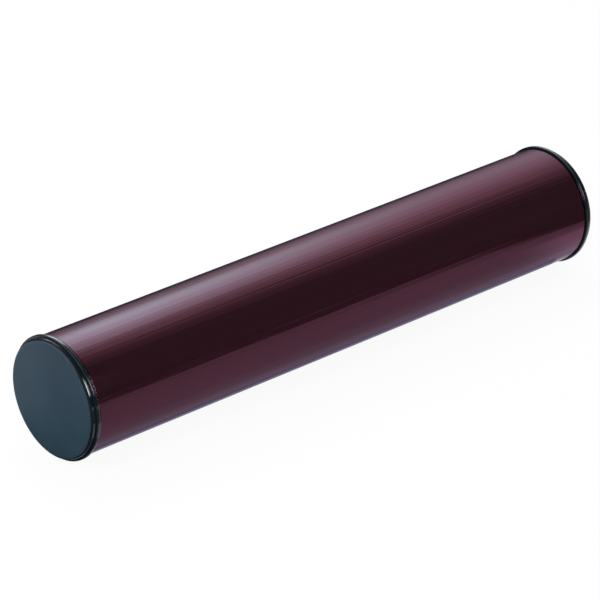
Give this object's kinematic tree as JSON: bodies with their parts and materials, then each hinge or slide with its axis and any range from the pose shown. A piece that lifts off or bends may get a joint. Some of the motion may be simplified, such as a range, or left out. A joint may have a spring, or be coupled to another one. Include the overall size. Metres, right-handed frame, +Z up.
{
  "type": "percussion shaker",
  "caption": "Metal tube shaker: a glossy anodised tube closed by two pressed-in black caps, with loose shot that rattles along the inside.",
  "frame": {"origin": "on the ground under the middle of the tube, where the shaker lies on the lips of its two caps", "axes": "+X along the tube from the front cap to the rear cap, +Z up"},
  "size_m": [0.248, 0.0466, 0.0466],
  "materials": {
    "anodised_tube": "glossy dark burgundy anodising",
    "black_cap": "black moulded plastic, satin face and smooth rim",
    "steel_shot": "bright steel balls"
  },
  "bodies": {
    "shell": {"tube": "anodised_tube", "front_cap": "black_cap", "rear_cap": "black_cap"},
    "shot_lower_1": {"shot_lower_1": "steel_shot"},
    "shot_lower_2": {"shot_lower_2": "steel_shot"},
    "shot_lower_3": {"shot_lower_3": "steel_shot"},
    "shot_lower_4": {"shot_lower_4": "steel_shot"},
    "shot_lower_5": {"shot_lower_5": "steel_shot"},
    "shot_lower_6": {"shot_lower_6": "steel_shot"},
    "shot_lower_7": {"shot_lower_7": "steel_shot"},
    "shot_lower_8": {"shot_lower_8": "steel_shot"},
    "shot_lower_9": {"shot_lower_9": "steel_shot"},
    "shot_upper_1": {"shot_upper_1": "steel_shot"},
    "shot_upper_2": {"shot_upper_2": "steel_shot"},
    "shot_upper_3": {"shot_upper_3": "steel_shot"},
    "shot_upper_4": {"shot_upper_4": "steel_shot"},
    "shot_upper_5": {"shot_upper_5": "steel_shot"},
    "shot_upper_6": {"shot_upper_6": "steel_shot"},
    "shot_upper_7": {"shot_upper_7": "steel_shot"},
    "shot_upper_8": {"shot_upper_8": "steel_shot"}
  },
  "joints": [
    {"name": "shot_lower_1_slide", "type": "slide", "parent": "shell", "child": "shot_lower_1", "axis": [1, 0, 0], "range_m": [-0.082, 0.082]},
    {"name": "shot_lower_2_slide", "type": "slide", "parent": "shell", "child": "shot_lower_2", "axis": [1, 0, 0], "range_m": [-0.082, 0.082]},
    {"name": "shot_lower_3_slide", "type": "slide", "parent": "shell", "child": "shot_lower_3", "axis": [1, 0, 0], "range_m": [-0.082, 0.082]},
    {"name": "shot_lower_4_slide", "type": "slide", "parent": "shell", "child": "shot_lower_4", "axis": [1, 0, 0], "range_m": [-0.082, 0.082]},
    {"name": "shot_lower_5_slide", "type": "slide", "parent": "shell", "child": "shot_lower_5", "axis": [1, 0, 0], "range_m": [-0.082, 0.082]},
    {"name": "shot_lower_6_slide", "type": "slide", "parent": "shell", "child": "shot_lower_6", "axis": [1, 0, 0], "range_m": [-0.082, 0.082]},
    {"name": "shot_lower_7_slide", "type": "slide", "parent": "shell", "child": "shot_lower_7", "axis": [1, 0, 0], "range_m": [-0.082, 0.082]},
    {"name": "shot_lower_8_slide", "type": "slide", "parent": "shell", "child": "shot_lower_8", "axis": [1, 0, 0], "range_m": [-0.082, 0.082]},
    {"name": "shot_lower_9_slide", "type": "slide", "parent": "shell", "child": "shot_lower_9", "axis": [1, 0, 0], "range_m": [-0.082, 0.082]},
    {"name": "shot_upper_1_slide", "type": "slide", "parent": "shell", "child": "shot_upper_1", "axis": [1, 0, 0], "range_m": [-0.0952, 0.0952]},
    {"name": "shot_upper_2_slide", "type": "slide", "parent": "shell", "child": "shot_upper_2", "axis": [1, 0, 0], "range_m": [-0.0952, 0.0952]},
    {"name": "shot_upper_3_slide", "type": "slide", "parent": "shell", "child": "shot_upper_3", "axis": [1, 0, 0], "range_m": [-0.0952, 0.0952]},
    {"name": "shot_upper_4_slide", "type": "slide", "parent": "shell", "child": "shot_upper_4", "axis": [1, 0, 0], "range_m": [-0.0952, 0.0952]},
    {"name": "shot_upper_5_slide", "type": "slide", "parent": "shell", "child": "shot_upper_5", "axis": [1, 0, 0], "range_m": [-0.0952, 0.0952]},
    {"name": "shot_upper_6_slide", "type": "slide", "parent": "shell", "child": "shot_upper_6", "axis": [1, 0, 0], "range_m": [-0.0952, 0.0952]},
    {"name": "shot_upper_7_slide", "type": "slide", "parent": "shell", "child": "shot_upper_7", "axis": [1, 0, 0], "range_m": [-0.0952, 0.0952]},
    {"name": "shot_upper_8_slide", "type": "slide", "parent": "shell", "child": "shot_upper_8", "axis": [1, 0, 0], "range_m": [-0.0952, 0.0952]}
  ]
}
